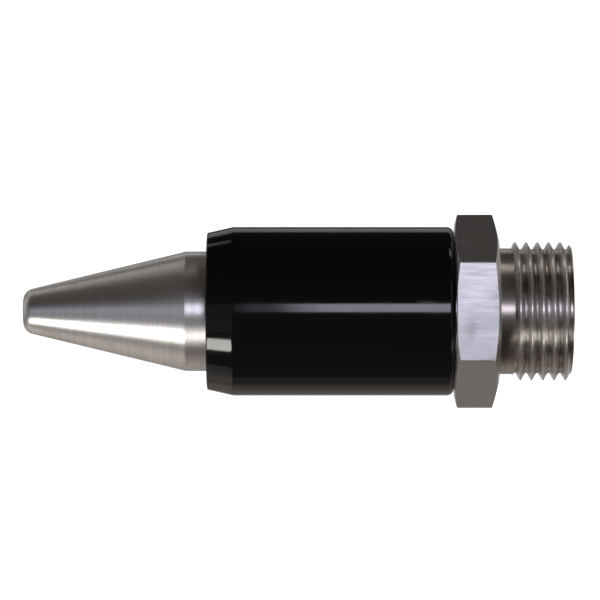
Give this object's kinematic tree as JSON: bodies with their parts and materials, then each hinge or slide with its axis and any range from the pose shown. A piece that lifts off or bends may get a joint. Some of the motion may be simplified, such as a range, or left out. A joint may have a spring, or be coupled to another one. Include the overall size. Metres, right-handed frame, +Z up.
{
  "type": "quarter-turn oil dispensing nozzle",
  "caption": "Tapered steel nozzle tip in a black twist sleeve that opens and shuts it, on a hexagon adapter with a male thread.",
  "frame": {"origin": "on the flow axis, in the plane of the hexagon's thread-side face", "axes": "+X along the flow axis from the outlet tip towards the inlet thread; +Z up through a corner of the hexagon; the flats face +Y and -Y"},
  "size_m": [0.0881, 0.0272, 0.0312],
  "materials": {
    "plated_steel": "turned, nickel-plated",
    "tip_steel": "fine turned",
    "inner_steel": "ground",
    "brass": "machined",
    "sleeve_black": "gloss",
    "seal_rubber": "matt nitrile",
    "gasket": "PTFE"
  },
  "bodies": {
    "body": {"inlet_adapter": "plated_steel", "sleeve_snap_ring": "inner_steel", "sleeve_friction_ring": "seal_rubber", "stem_spider": "brass", "stem_lock_washer": "inner_steel", "stem_nut": "inner_steel", "valve_stem": "inner_steel", "stem_nose_seal": "seal_rubber", "barrel_gasket": "gasket", "guide_barrel": "inner_steel"},
    "sleeve": {"twist_sleeve": "sleeve_black", "sleeve_wiper_ring": "seal_rubber", "cam_bush": "brass"},
    "tip": {"outlet_tip": "tip_steel", "piston_tube": "inner_steel", "tip_seal_ring": "seal_rubber", "cam_pin_upper": "inner_steel", "cam_pin_lower": "inner_steel", "piston_ring_rear": "seal_rubber", "piston_ring_front": "seal_rubber"}
  },
  "joints": [
    {"name": "sleeve_turn", "type": "hinge", "parent": "body", "child": "sleeve", "pos_m": [-0.027, 0, 0], "axis": [-1, 0, 0], "range_deg": [0, 90]},
    {"name": "tip_slide", "type": "slide", "parent": "body", "child": "tip", "axis": [-1, 0, 0], "range_m": [0, 0.0032]}
  ],
  "couplings": [
    {"joint": "sleeve_turn", "follows": "tip_slide", "rad_per_m": 490.87}
  ]
}
